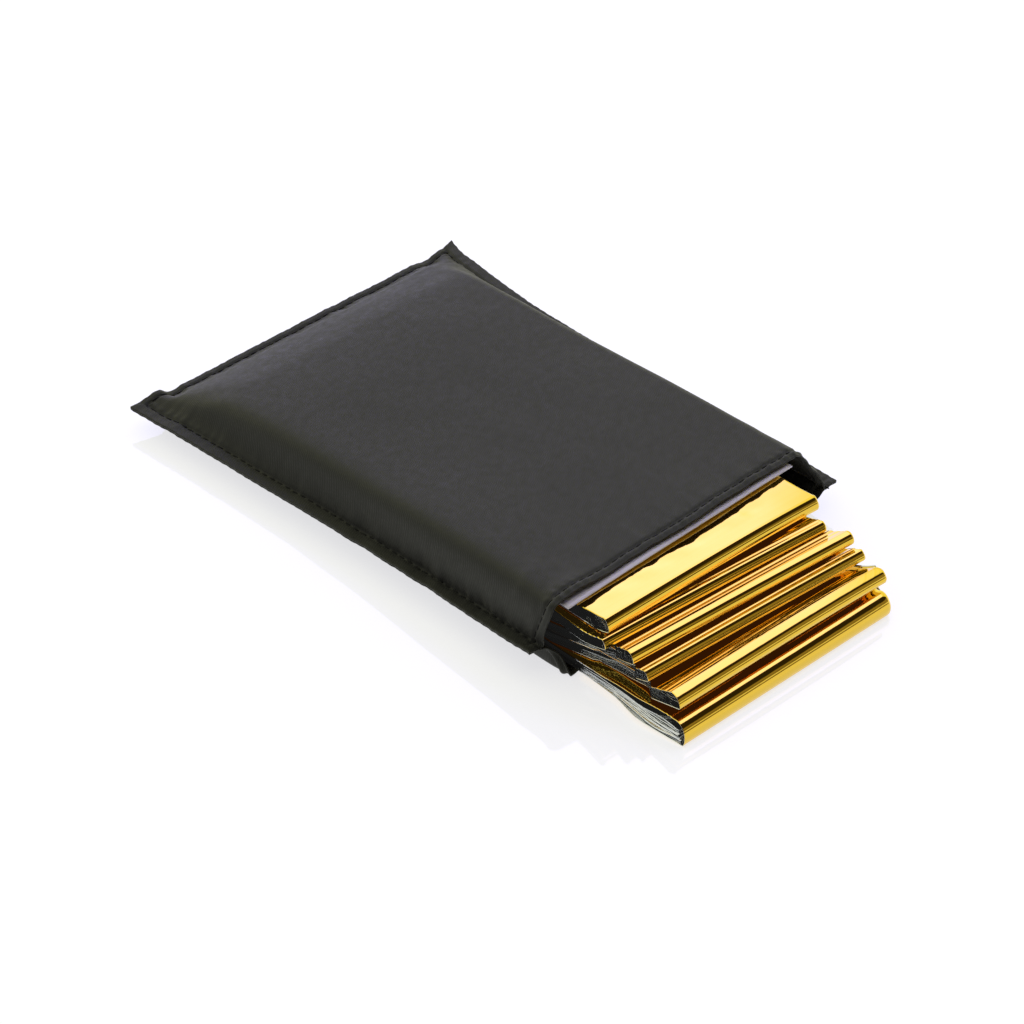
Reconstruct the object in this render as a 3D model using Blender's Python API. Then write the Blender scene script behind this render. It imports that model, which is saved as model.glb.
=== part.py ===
"""Emergency foil blanket, zigzag folded and half pulled out of its sewn pouch.

The pouch lies flat with its mouth towards -Y. Two cloth panels meet in a flat flange that is
sewn round three sides. A leaflet card lies on the folded blanket, under the top panel. The
blanket is one strip of foil folded back and forth, whose front folds step out of the mouth.
All sizes are in metres, +Z is up, and the origin is on the floor under the middle of the whole.
"""
import math

import bmesh
import bpy
from mathutils import Vector

MM = 0.001

# Pouch: two panels of woven polyester.
CLOTH = 1.0 * MM            # thickness of a panel's solid
GAP = 0.3 * MM              # space that neighbouring pieces keep
FLANGE = 4.0 * MM           # width of the sewn flange, edge to topstitch
FAR_EDGE = 81.0 * MM        # far end of the pouch from the middle of its length
EAR = 1.8 * MM              # how much further the far corners reach
MOUTH = -82.5 * MM          # where the side seams end, at the mouth
MOUTH_FADE = 22.0 * MM      # length over which a panel's mouth edge is drawn forward
EAR_FADE = 30.0 * MM        # length over which the far corners are drawn out
EAR_POWER = 6               # how narrow the drawn-out corners are

# Leaflet card on top of the blanket: its corners, left to right and front to back.
CARD = 1.0 * MM
CARD_SPACE = 0.4 * MM       # space between the card and the top panel
CARD_LEFT = -49.8 * MM
CARD_RIGHT = 39.2 * MM
CARD_FRONT_LEFT = -88.4 * MM
CARD_FRONT_RIGHT = -86.0 * MM
CARD_BACK = 42.0 * MM

# Blanket: a strip of foil, 80 mm wide, folded back and forth.
FOIL = 1.0 * MM             # thickness of the strip's solid, which stands for many thin layers
FOIL_WIDTH = 80.0 * MM
FOIL_LEFT = -47.4 * MM      # left edge of the runs inside the pouch
FIRST_RUN_END = 64.0 * MM   # free end of the strip, at the back of the top run
FAN_START = -88.6 * MM      # where the bundles clear the card and begin to spread
FAN_POWER = 1.8             # how late a bundle rises towards its front fold
SKEW_START = -50.0 * MM     # where the bundles begin to slew and slip sideways
NOSE_DEPTH = 1.15           # depth of a front fold's round nose for its radius

# Top panel's sections from the far end to the mouth, in millimetres: place along the length,
# then across it the flange's edge, the seam's height, the wall and the shoulder on the left,
# the top's height, and the same on the right.
TOP_COLUMNS = ("y", "left_edge", "left_seam", "left_wall", "left_shoulder", "top",
               "right_shoulder", "right_wall", "right_seam", "right_edge")
TOP_ROWS = (
    (81.0, -63.2, 6.8, -56.0, -48.6, 7.95, 47.0, 55.4, 6.8, 62.4),
    (77.0, -63.0, 6.8, -56.0, -48.6, 7.95, 46.5, 55.2, 6.8, 61.3),
    (73.0, -62.7, 6.9, -55.6, -48.4, 10.2, 46.0, 54.4, 6.8, 60.4),
    (66.0, -62.0, 7.0, -54.6, -48.6, 13.4, 44.6, 52.6, 6.8, 59.6),
    (56.0, -61.3, 7.1, -53.4, -49.6, 16.5, 42.8, 50.4, 6.8, 58.4),
    (33.0, -60.3, 7.4, -53.1, -50.5, 19.6, 41.6, 48.6, 6.9, 56.9),
    (0.0, -58.7, 8.0, -53.1, -50.9, 21.6, 41.4, 48.4, 7.0, 57.0),
    (-43.0, -57.7, 8.8, -53.6, -51.4, 24.4, 41.4, 48.6, 7.2, 58.6),
    (-82.5, -58.2, 10.2, -54.6, -52.2, 26.0, 41.4, 48.8, 7.6, 57.6),
)
TOP_CROWN = 0.3 * MM        # rise of the top's middle above its shoulders

# Bottom panel's sections: where it turns up and where it meets the floor on each side, and the
# height of its middle.
BOTTOM_COLUMNS = ("y", "left_turn", "left_floor", "middle", "right_floor", "right_turn")
BOTTOM_ROWS = (
    (81.0, -56.0, -47.0, 5.65, 47.0, 55.0),
    (77.0, -56.0, -47.0, 5.65, 47.0, 55.0),
    (73.0, -54.5, -46.0, 3.0, 46.0, 53.4),
    (66.0, -52.0, -45.6, 0.6, 45.0, 50.8),
    (59.0, -51.0, -46.2, 0.0, 43.0, 49.0),
    (0.0, -50.2, -47.8, 0.0, 41.0, 48.0),
    (-82.5, -49.8, -48.4, 0.0, 41.0, 48.5),
)

# How far each panel's mouth edge is drawn forward of the seam's ends, on the left and right.
TOP_LIP = (3.6 * MM, 1.9 * MM)
BOTTOM_LIP = (4.0 * MM, -2.5 * MM)

# The blanket's bundles from the top one down, in millimetres: where the front fold's nose lies at
# its left and right end, its left edge, the nose's height and thickness, and where the strip turns
# back behind it.
BUNDLE_COLUMNS = ("nose_left", "nose_right", "left_edge", "nose_height", "nose_thick", "back")
BUNDLE_ROWS = (
    (-98.6, -98.6, -47.4, 24.3, 4.2, 61.0),
    (-99.8, -104.0, -50.4, 20.4, 4.0, 57.0),
    (-107.4, -110.6, -46.8, 17.9, 3.8, 52.0),
    (-111.4, -114.0, -46.6, 14.7, 4.0, 44.0),
    (-123.6, -122.0, -46.4, 12.4, 5.2, 36.0),
    (-128.6, -128.2, -47.0, 4.85, 9.1, 30.0),
)
LEAST_PITCH = 2 * (FOIL + GAP) + 0.02 * MM

# Fineness of the solids.
PANEL_STATIONS = 26
FLANGE_STEPS = 2
CARD_STEPS = 12
RUN_STEPS = 12
FAN_STEPS = 5
NOSE_STEPS = 8
BACK_STEPS = 4
FOIL_COLUMNS = 4


def clear_scene():
    for item in list(bpy.data.objects):
        bpy.data.objects.remove(item, do_unlink=True)


def table(rows, columns):
    """The rows as dictionaries in metres, in the order of rising y where they have one."""
    named = [dict(zip(columns, (value * MM for value in row))) for row in rows]
    return sorted(named, key=lambda row: row["y"]) if "y" in columns else named


def value_at(rows, column, y):
    """The column's value at y, on a smooth curve through the rows that doesn't overshoot."""
    places = [row["y"] for row in rows]
    values = [row[column] for row in rows]
    y = min(max(y, places[0]), places[-1])
    index = max(i for i, place in enumerate(places[:-1]) if place <= y)
    slopes = [(values[i + 1] - values[i]) / (places[i + 1] - places[i])
              for i in range(len(rows) - 1)]

    def tangent(i):
        if i in (0, len(slopes)):
            return slopes[min(i, len(slopes) - 1)]
        before, after = slopes[i - 1], slopes[i]
        return 0.0 if before * after <= 0 else 2 * before * after / (before + after)

    width = places[index + 1] - places[index]
    t = (y - places[index]) / width
    return hermite(values[index], values[index + 1], tangent(index) * width,
                   tangent(index + 1) * width, t)


def hermite(start, end, enter, leave, t):
    return ((2 * t ** 3 - 3 * t ** 2 + 1) * start + (t ** 3 - 2 * t ** 2 + t) * enter
            + (3 * t ** 2 - 2 * t ** 3) * end + (t ** 3 - t ** 2) * leave)


def section_at(rows, y):
    return {column: value_at(rows, column, y) for column in rows[0] if column != "y"}


def curve_through(knots, counts):
    """Points on a smooth curve through the knots, with a number of steps for each span."""
    spans = [(end - start).length for start, end in zip(knots, knots[1:])]
    points = []
    for i, count in enumerate(counts):
        start, end = knots[i], knots[i + 1]
        before = knots[i - 1] if i else start
        after = knots[i + 2] if i + 2 < len(knots) else end
        enter = (end - before).normalized() * min(spans[i], 1.5 * spans[max(i - 1, 0)])
        leave = (after - start).normalized() * min(spans[i], 1.5 * spans[min(i + 1, len(spans) - 1)])
        for step in range(count):
            points.append(hermite(start, end, enter, leave, step / count))
    return points + [knots[-1].copy()]


def panel_section(knots, counts):
    """A section whose first and last spans are the straight flanges."""
    left = [knots[0].lerp(knots[1], step / FLANGE_STEPS) for step in range(FLANGE_STEPS)]
    right = [knots[-1].lerp(knots[-2], step / FLANGE_STEPS) for step in range(FLANGE_STEPS)]
    return left + curve_through(knots[1:-1], counts) + right[::-1]


def ease(value):
    value = min(max(value, 0.0), 1.0)
    return value * value * (3 - 2 * value)


def sheet_object(name, grid, thickness, offset, material):
    """A closed sheet from rows of points, thickened below them or to both sides."""
    shape = bmesh.new()
    verts = [[shape.verts.new(point) for point in row] for row in grid]
    for near, far in zip(verts, verts[1:]):
        for i in range(len(near) - 1):
            shape.faces.new((near[i], near[i + 1], far[i + 1], far[i]))
    mesh = bpy.data.meshes.new(name)
    shape.to_mesh(mesh)
    shape.free()
    mesh.shade_smooth()
    mesh.materials.append(material)
    item = bpy.data.objects.new(name, mesh)
    bpy.context.scene.collection.objects.link(item)
    solid = item.modifiers.new("Thickness", "SOLIDIFY")
    solid.thickness = thickness
    solid.offset = offset
    solid.use_even_offset = True
    return item


def plain_material(name, color, roughness, metallic):
    material = bpy.data.materials.new(name)
    material.use_nodes = True
    shader = material.node_tree.nodes["Principled BSDF"]
    shader.inputs["Base Color"].default_value = (*color, 1.0)
    shader.inputs["Roughness"].default_value = roughness
    shader.inputs["Metallic"].default_value = metallic
    return material


def panel_stations():
    """Places along the pouch from mouth to far end, closer together where the panels meet."""
    seam = FAR_EDGE - FLANGE
    places = []
    for step in range(PANEL_STATIONS):
        share = step / PANEL_STATIONS
        places.append(MOUTH + (seam - MOUTH) * (share + 0.13 * math.sin(math.pi * share)))
    for step in range(FLANGE_STEPS + 1):
        places.append(seam + FLANGE * step / FLANGE_STEPS)
    return places


def draw_ends(points, y, lip, shares):
    """Move a section's points towards the mouth by the lip's length, less further in.

    At the far end the corners are drawn out into ears.
    """
    left, right = points[0].x, points[-1].x
    mouth_fade = ease(1 - (y - MOUTH) / MOUTH_FADE)
    ear_fade = ease(1 - (FAR_EDGE - y) / EAR_FADE)
    for point, share in zip(points, shares):
        across = (point.x - left) / (right - left)
        forward = (lip[0] * (1 - across) + lip[1] * across) * ease(share) * mouth_fade
        point.y = y - forward + EAR * abs(2 * across - 1) ** EAR_POWER * ear_fade


def top_panel(material):
    """Flat flange, steep left wall, flat top carried by the card, and a slacker right side."""
    rows = table(TOP_ROWS, TOP_COLUMNS)
    grid = []
    for y in panel_stations():
        row = section_at(rows, y)
        left_base = row["left_seam"] + GAP / 2 + CLOTH
        right_base = row["right_seam"] + GAP / 2 + CLOTH
        left_rise = row["top"] - left_base
        right_rise = row["top"] - right_base
        knots = [Vector((x, y, z)) for x, z in (
            (row["left_edge"], left_base),
            (row["left_edge"] + FLANGE, left_base),
            (row["left_wall"], left_base + 0.42 * left_rise),
            (0.75 * row["left_wall"] + 0.25 * row["left_shoulder"], left_base + 0.84 * left_rise),
            (row["left_shoulder"], row["top"]),
            (0.5 * (row["left_shoulder"] + row["right_shoulder"]), row["top"]),
            (row["right_shoulder"], row["top"]),
            (row["right_wall"], right_base + 0.52 * right_rise),
            (row["right_edge"] - FLANGE, right_base),
            (row["right_edge"], right_base),
        )]
        points = panel_section(knots, (3, 3, 3, 5, 5, 4, 4))
        rises = [(point.z - left_base) / max(left_rise, MM) for point in points]
        draw_ends(points, y, TOP_LIP, rises)
        for point in points:
            across = (point.x - row["left_shoulder"]) / (row["right_shoulder"] - row["left_shoulder"])
            crown = TOP_CROWN * math.sin(math.pi * min(max(across, 0.0), 1.0))
            point.z = min(point.z, row["top"]) + crown * min(left_rise / (10 * MM), 1.0)
        grid.append(points)
    return sheet_object("pouch_top_panel", grid, CLOTH, -1.0, material)


def bottom_panel(material):
    """Flat on the floor, turned up at the sides and the far end to meet the top panel's flange."""
    tops = table(TOP_ROWS, TOP_COLUMNS)
    rows = table(BOTTOM_ROWS, BOTTOM_COLUMNS)
    grid = []
    for y in panel_stations():
        top = section_at(tops, y)
        row = section_at(rows, y)
        floor = row["middle"] + CLOTH
        left_base = top["left_seam"] - GAP / 2
        right_base = top["right_seam"] - GAP / 2
        left_rise = left_base - floor
        right_rise = right_base - floor
        knots = [Vector((x, y, z)) for x, z in (
            (top["left_edge"], left_base),
            (top["left_edge"] + FLANGE, left_base),
            (row["left_turn"], floor + 0.6 * left_rise),
            (row["left_floor"], floor),
            (0.0, floor),
            (row["right_floor"], floor),
            (row["right_turn"], floor + 0.32 * right_rise),
            (top["right_edge"] - FLANGE, right_base),
            (top["right_edge"], right_base),
        )]
        points = panel_section(knots, (3, 4, 4, 4, 3, 3))
        drops = [(left_base - point.z) / max(left_rise, MM) for point in points]
        draw_ends(points, y, BOTTOM_LIP, drops)
        for point in points:
            point.z = max(point.z, floor)
        grid.append(points)
    return sheet_object("pouch_bottom_panel", grid, CLOTH, -1.0, material)


def leaflet_card(material):
    """A plain card that lies on the blanket and ends just outside the top panel's hem."""
    rows = table(TOP_ROWS, TOP_COLUMNS)
    grid = []
    for step in range(CARD_STEPS + 1):
        share = step / CARD_STEPS
        left = Vector((CARD_LEFT, CARD_FRONT_LEFT + (CARD_BACK - CARD_FRONT_LEFT) * share, 0))
        right = Vector((CARD_RIGHT, CARD_FRONT_RIGHT + (CARD_BACK - CARD_FRONT_RIGHT) * share, 0))
        points = [left.lerp(right, part / 4) for part in range(5)]
        for point in points:
            point.z = value_at(rows, "top", point.y) - CLOTH - CARD_SPACE
        grid.append(points)
    return sheet_object("leaflet_card", grid, CARD, -1.0, material)


class Blanket:
    """The folded strip: where its bundles lie, and the line that it follows through them."""

    def __init__(self):
        self.tops = table(TOP_ROWS, TOP_COLUMNS)
        self.bundles = table(BUNDLE_ROWS, BUNDLE_COLUMNS)

    def stacked(self, index, y):
        """A bundle's middle height and half thickness inside the pouch, under the card."""
        ceiling = value_at(self.tops, "top", y) - CLOTH - CARD_SPACE - CARD - GAP
        pitch = max((ceiling - CLOTH - GAP) / len(self.bundles), LEAST_PITCH)
        return ceiling - (index + 0.5) * pitch, 0.5 * (pitch - GAP)

    def middle(self, index, y, nose):
        """The same at any y, for a front fold whose nose is at y = nose."""
        height, half = self.stacked(index, max(y, FAN_START))
        if y >= FAN_START:
            return height, half
        bundle = self.bundles[index]
        share = min((FAN_START - y) / (FAN_START - nose), 1.0) ** FAN_POWER
        return (height + (bundle["nose_height"] - height) * share,
                half + (0.5 * bundle["nose_thick"] - half) * share)

    def point(self, index, y, z, part):
        """A point of the strip, slipped sideways with its bundle outside the mouth."""
        bundle = self.bundles[index]
        slip = ease((SKEW_START - y) / (SKEW_START - bundle["nose_left"]))
        left = FOIL_LEFT + (bundle["left_edge"] - FOIL_LEFT) * slip
        return Vector((left + part * FOIL_WIDTH, y, z))

    def run(self, index, back, turn, nose, side):
        """Places and heights along a bundle's upper (side 1) or lower (side -1) run.

        They go from the back to the turn of the nose. Inside the pouch all runs share their
        stations, so that they stay parallel.
        """
        places = [back]
        for step in range(RUN_STEPS + 1):
            y = FIRST_RUN_END + (FAN_START - FIRST_RUN_END) * step / RUN_STEPS
            if y < back - GAP:
                places.append(y)
        for step in range(1, FAN_STEPS):
            places.append(FAN_START + (turn - FAN_START) * step / FAN_STEPS)
        heights = [self.middle(index, y, nose) for y in places]
        return [(y, height + side * (half - FOIL / 2)) for y, (height, half) in zip(places, heights)]

    def line(self, part):
        """The strip's middle line at one place across its width, from the top run's end down."""
        points = []
        for index, bundle in enumerate(self.bundles):
            nose = bundle["nose_left"] + (bundle["nose_right"] - bundle["nose_left"]) * part
            start = self.bundles[index - 1]["back"] if index else FIRST_RUN_END
            end = bundle["back"]
            height, half = self.middle(index, nose, nose)
            radius = half - FOIL / 2
            depth = NOSE_DEPTH * radius
            turn = nose + FOIL / 2 + depth
            for y, z in self.run(index, start, turn, nose, 1):
                points.append(self.point(index, y, z, part))
            for step in range(NOSE_STEPS + 1):
                angle = math.pi * (0.5 - step / NOSE_STEPS)
                points.append(self.point(index, turn - depth * math.cos(angle),
                                         height + radius * math.sin(angle), part))
            for y, z in reversed(self.run(index, end, turn, nose, -1)):
                points.append(self.point(index, y, z, part))
            if index + 1 < len(self.bundles):
                small = (FOIL + GAP) / 2
                height, half = self.middle(index, end, nose)
                for step in range(1, BACK_STEPS):
                    angle = math.pi * (0.5 - step / BACK_STEPS)
                    points.append(self.point(index, end + small * math.cos(angle),
                                             height - half - GAP / 2 + small * math.sin(angle), part))
        return points


def foil_blanket(material):
    blanket = Blanket()
    lines = [blanket.line(column / FOIL_COLUMNS) for column in range(FOIL_COLUMNS + 1)]
    return sheet_object("foil_blanket", list(zip(*lines)), FOIL, 0.0, material)


def stand_on_origin(items):
    """Put the origin under the middle of the whole, at the height of its lowest point."""
    bpy.context.view_layer.update()
    graph = bpy.context.evaluated_depsgraph_get()
    corners = []
    for item in items:
        shape = item.evaluated_get(graph)
        corners += [shape.matrix_world @ vertex.co for vertex in shape.data.vertices]
    low = Vector([min(corner[axis] for corner in corners) for axis in range(3)])
    high = Vector([max(corner[axis] for corner in corners) for axis in range(3)])
    middle = (low + high) / 2
    for item in items:
        for vertex in item.data.vertices:
            vertex.co -= Vector((middle.x, middle.y, low.z))


def main():
    clear_scene()
    stand_on_origin([
        top_panel(plain_material("pouch cloth, top", (0.012, 0.012, 0.013), 0.62, 0.0)),
        bottom_panel(plain_material("pouch cloth, bottom", (0.010, 0.010, 0.011), 0.65, 0.0)),
        leaflet_card(plain_material("leaflet card", (0.80, 0.79, 0.83), 0.35, 0.0)),
        foil_blanket(plain_material("gold foil", (0.95, 0.62, 0.06), 0.12, 1.0)),
    ])


main()
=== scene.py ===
"""Emergency foil blanket, zigzag folded and half pulled out of its sewn pouch.

The pieces are the pouch's two cloth panels with their hems, the topstitches, the leaflet card and
the folded film, whose layers show at the open end. Places in the tables below are millimetres in
the pouch's own frame, whose mouth is towards -Y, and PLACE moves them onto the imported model.
"""
import math

import bpy
import numpy as np
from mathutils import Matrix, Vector, noise


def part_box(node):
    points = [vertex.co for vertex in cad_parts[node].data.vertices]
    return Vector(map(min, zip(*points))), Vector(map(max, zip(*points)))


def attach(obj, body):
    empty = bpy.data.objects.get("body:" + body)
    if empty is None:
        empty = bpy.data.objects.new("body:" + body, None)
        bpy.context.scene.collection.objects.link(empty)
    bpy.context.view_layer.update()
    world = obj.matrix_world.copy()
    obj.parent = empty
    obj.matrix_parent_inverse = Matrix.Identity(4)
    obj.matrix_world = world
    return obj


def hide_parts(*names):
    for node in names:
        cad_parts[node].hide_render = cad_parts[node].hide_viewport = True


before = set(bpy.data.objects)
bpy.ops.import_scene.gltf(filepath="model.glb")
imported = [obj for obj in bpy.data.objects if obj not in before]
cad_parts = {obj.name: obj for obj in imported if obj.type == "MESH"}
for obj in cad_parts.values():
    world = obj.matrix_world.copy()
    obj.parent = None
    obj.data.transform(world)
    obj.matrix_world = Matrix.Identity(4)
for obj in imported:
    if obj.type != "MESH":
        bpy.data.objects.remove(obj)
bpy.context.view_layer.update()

bl_info = {
    "name": "Foil Blanket In A Pouch",
    "version": (1, 0, 0),
    "blender": (4, 5, 0),
    "location": "3D View > Sidebar > Blanket",
    "description": "Builds the cloth, stitches, card and film of a packed foil blanket",
    "category": "Object",
}

MM = 0.001

# Pouch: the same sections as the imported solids, in thin cloth.
FLANGE = 4.0                # width of the sewn flange, edge to topstitch
FAR_EDGE = 81.0             # far end of the pouch from the middle of its length
EAR = 1.8                   # how much further the far corners reach
EAR_FADE = 30.0             # length over which they are drawn out
EAR_POWER = 6               # how narrow they are
MOUTH = -82.5               # where the side seams end
MOUTH_FADE = 22.0           # length over which the mouth's edge is drawn forward
TOP_LIP = (1.3, -1.5)       # how far it is drawn forward, left and right, on each panel
BOTTOM_LIP = (4.0, -2.5)
SEAM_BACK = 3.2             # how far the left seam's end lies behind the right one's
SHOULDER_REACH = 8.5        # how far the round of the top panel's left shoulder reaches
SHOULDER_PASSES = 90        # how many times it is eased
TOP_CROWN = 0.3             # rise of the top's middle above its shoulders

# Top panel's sections from the far end to the mouth: the place along the length, then across it
# the flange's edge, the seam's height, the wall and the shoulder on the left, the top's height,
# and the same on the right. WALL_RISE is how high the curve passes the wall's place on the left,
# then a quarter of the way to the shoulder, and on the right, as shares of the whole rise.
TOP_COLUMNS = ("y", "left_edge", "left_seam", "left_wall", "left_shoulder", "top",
               "right_shoulder", "right_wall", "right_seam", "right_edge")
TOP_ROWS = (
    (81.0, -63.2, 6.8, -57.0, -52.6, 7.95, 46.5, 55.4, 6.8, 62.4),
    (78.8, -63.1, 6.8, -56.6, -52.0, 7.95, 46.0, 54.8, 6.8, 61.8),
    (73.0, -62.7, 6.9, -55.6, -50.2, 10.5, 45.0, 53.2, 6.8, 60.4),
    (66.0, -62.0, 7.0, -54.6, -48.8, 13.4, 44.4, 51.6, 6.8, 59.6),
    (56.0, -61.3, 7.1, -53.6, -48.6, 16.5, 43.6, 50.3, 6.8, 58.4),
    (33.0, -60.3, 7.4, -53.3, -49.6, 19.6, 42.2, 48.8, 6.9, 56.9),
    (0.0, -58.7, 8.0, -53.1, -49.6, 21.6, 41.4, 48.4, 7.0, 57.0),
    (-43.0, -57.7, 8.8, -53.6, -50.4, 24.4, 41.4, 48.6, 7.5, 58.6),
    (-82.5, -58.2, 10.2, -54.6, -51.8, 26.0, 41.4, 48.8, 9.0, 57.6),
)
TOP_WALL_RISE = (0.42, 0.84, 0.52)
# Bottom panel's sections: where it turns up and where it meets the floor on each side, and the
# height of its middle.
BOTTOM_COLUMNS = ("y", "left_turn", "left_floor", "middle", "right_floor", "right_turn")
BOTTOM_ROWS = (
    (81.0, -56.0, -47.0, 5.65, 47.0, 55.0),
    (77.0, -56.0, -47.0, 5.65, 47.0, 55.0),
    (73.0, -54.5, -46.0, 3.0, 46.0, 53.4),
    (66.0, -52.0, -45.6, 0.6, 45.0, 50.8),
    (59.0, -51.0, -46.2, 0.0, 43.0, 49.0),
    (0.0, -50.2, -47.8, 0.0, 41.0, 48.0),
    (-82.5, -49.8, -48.4, 0.0, 41.0, 48.5),
)
BOTTOM_WALL_RISE = (0.6, 0.32)
FLOOR_GAP = 0.05            # clear space between the cloth and the floor
FAR_FLANGE = 2.2            # the flange across the far end, edge to topstitch
# How far the far flange's edge rises or droops along its length, and how far in that reaches.
EDGE_REACH = 9.0
EDGE_COLUMNS = ("x", "lift")
EDGE_ROWS = ((-63.2, 0.0), (-58.0, 0.6), (-53.5, 1.0), (-50.8, -0.7), (-48.5, -1.4), (-44.0, -1.0),
             (0.0, -0.6), (44.0, -1.0), (50.5, -1.7), (56.0, -0.8), (62.4, 0.3))
SEAM_DROP = 0.3             # the thin flange lies a little lower than the thick solids' one
SEAM_GAP = 0.03             # half the clear space between the two panels' flanges
PANEL_STATIONS = 260        # sections along the pouch
PANEL_CROWDING = 0.11       # how much closer they are at the mouth and at the far seam
FLANGE_STEPS = 9
TOP_STEPS = (9, 9, 8, 44, 44, 12, 14)
BOTTOM_STEPS = (9, 12, 14, 14, 9, 9)
HEM_STITCH = 2.8            # the hem's topstitch from its edge
HEM_ENDS = 9                # points at each end of the hem that its stitches leave free
STITCH_PITCH = 3.1
STITCH_RISE = 0.05          # how far the stitches' middle lies above the cloth's face

# Relief of the sewn cloth along its topstitches: height, how much each stitch adds to it,
# distance from the topstitch and half width.
SEAM_RELIEF = (
    (-0.34, -0.20, 0.0, 0.6),       # the groove that the thread sinks into
    (-0.11, 0.22, 1.2, 1.2),        # a pucker for each stitch on the panel
    (-0.05, 0.10, -1.6, 1.1),       # and on the flange
)
HEM_RELIEF = (
    (-0.40, -0.22, 0.0, 0.7),       # the groove
    (0.06, 0.42, -1.6, 1.1),        # the roll of folded cloth before it
    (-0.12, 0.24, 1.4, 1.3),        # a pucker for each stitch
)
SEAM_BEAT = (1.2, 0.05, 11)         # how far stitches stray from the pitch, how often, the seed
HEM_BEAT = (1.5, 0.06, 12)
FLANGE_RISE, FLANGE_RISE_OVER = 0.10, 0.8
HEM_CURL, HEM_CURL_WIDTH = 0.5, 1.5     # how far the hem's edge turns down onto the card
PUCKER_AT, PUCKER_WIDTH = 1.0, 4.2      # the seams' longer puckers, from the topstitch
RIPPLE_WIDTH, RIPPLE_FADE = 7.5, 9.0    # the hem's ripples, and how they fade at the sides
DENT_FROM, DENT_OVER = 4.0, 12.0        # where dents begin inside the sewn edges
EDGE_BEAT = 0.16                        # how far each stitch moves the sewn edge
HEM_DRIFT_WIDTH = 6.0                   # how far in the mouth's uneven edge reaches
# Uneven waves: how often they come along two directions, their height and their seed.
PUCKER_WAVES = ((0.17, 0.0, 0.34, 1), (0.45, 0.0, 0.16, 2))
RIPPLE_WAVES = ((0.075, 0.0, 0.5, 3), (0.22, 0.0, 0.26, 4))
DENT_WAVES = ((0.021, 0.017, 0.42, 5), (0.09, 0.06, 0.09, 6))
HEM_WAVES = ((0.06, 0.05, 0.45, 7),)
EDGE_WAVES = ((0.11, 0.0, 0.20, 8),)
CARD_WAVES = ((0.05, 0.0, 0.12, 9),)
TOP_WAVES = ((0.15, 0.0, 0.22, 31),)    # the top bundle's uneven bend at the card's edge
# A point's place along the sewn edges is its Y on the left, FAR_PLACE + X at the far end, and
# RIGHT_PLACE - Y on the right, which are never closer than SIDE_SPAN to each other's.
FAR_PLACE = 400.0
RIGHT_PLACE = 700.0
SIDE_SPAN = 150.0

# Creases of the top panel: two ends, depth (a ridge where negative) and half width.
CREASE_COLUMNS = ("x0", "y0", "x1", "y1", "depth", "width")
TOP_CREASES = (
    (-53.5, -79.0, -44.0, -73.0, 0.35, 2.2),
    (-52.0, -70.0, -44.0, -67.0, -0.25, 2.4),
    (36.0, -80.0, 44.0, -66.0, 0.3, 2.6),
    (-57.0, 74.0, -46.0, 58.0, 0.45, 3.5),
    (49.0, 74.0, 37.0, 64.0, 0.35, 3.5),
)

# Card.
CARD_COLUMNS = ("x", "front", "back")
CARD_ROWS = ((-49.2, -85.0, 42.0), (-30.0, -84.4, 42.0), (0.0, -83.5, 42.0), (39.0, -82.2, 42.0))
CARD_UNDER_TOP = 2.15       # the card's upper face under the top panel's outer one
CARD_STEPS = (60, 40)       # along and across it
CARD_WAVE_STEPS = 12        # how far the slow wave at its front reaches

# Film: the bundles from the top one down. Each has a nose that leans over, so that it reaches
# furthest at its foot, and inner layers that leave the skin some way behind it. The columns are
# where the nose lies at its left and right end, the left edge, the height of the nose's foot,
# where the strip turns back, where the bundle begins to rise and how late it does, how far behind
# the nose the inner layers leave the skin, and how far the layers spread in the upper and lower
# run. Then come the right end's droop, how much narrower it is behind the nose, and its round.
FILM_WIDTH = 80.2
FILM_LEFT = -46.6
FIRST_RUN_END = 64.0
SKEW_START = -50.0          # where the bundles begin to slip sideways
LOWER_FAN_START = -88.6     # where the lower runs begin to spread, and how late they do
LOWER_FAN_POWER = 1.8
BUNDLE_COLUMNS = ("nose_left", "nose_right", "left_edge", "nose_foot", "back", "fan_start",
                  "fan_power", "opening", "spread_top", "spread_low", "droop", "taper",
                  "end_round")
BUNDLE_ROWS = (
    (-98.0, -98.0, -46.5, 21.6, 61.0, -84.0, 1.0, 7.0, 0.5, 1.0, 1.3, 0.0, 0.9),
    (-99.4, -103.9, -49.6, 18.3, 57.0, -88.6, 1.8, 3.0, 0.5, 1.2, 0.4, 1.4, 0.9),
    (-106.8, -111.0, -46.0, 16.0, 52.0, -88.6, 1.8, 5.0, 0.6, 1.3, 0.4, 3.2, 0.9),
    (-111.7, -115.2, -45.8, 12.7, 44.0, -88.6, 1.8, 4.0, 0.6, 1.3, 0.4, 3.0, 0.9),
    (-123.0, -123.0, -45.3, 9.8, 36.0, -88.6, 2.4, 9.0, 0.9, 2.4, 1.0, 3.6, 1.2),
    (-126.5, -126.3, -46.1, 0.3, 30.0, -88.6, 1.2, 4.0, 1.1, 2.2, 0.0, 0.4, 2.0),
)
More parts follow.
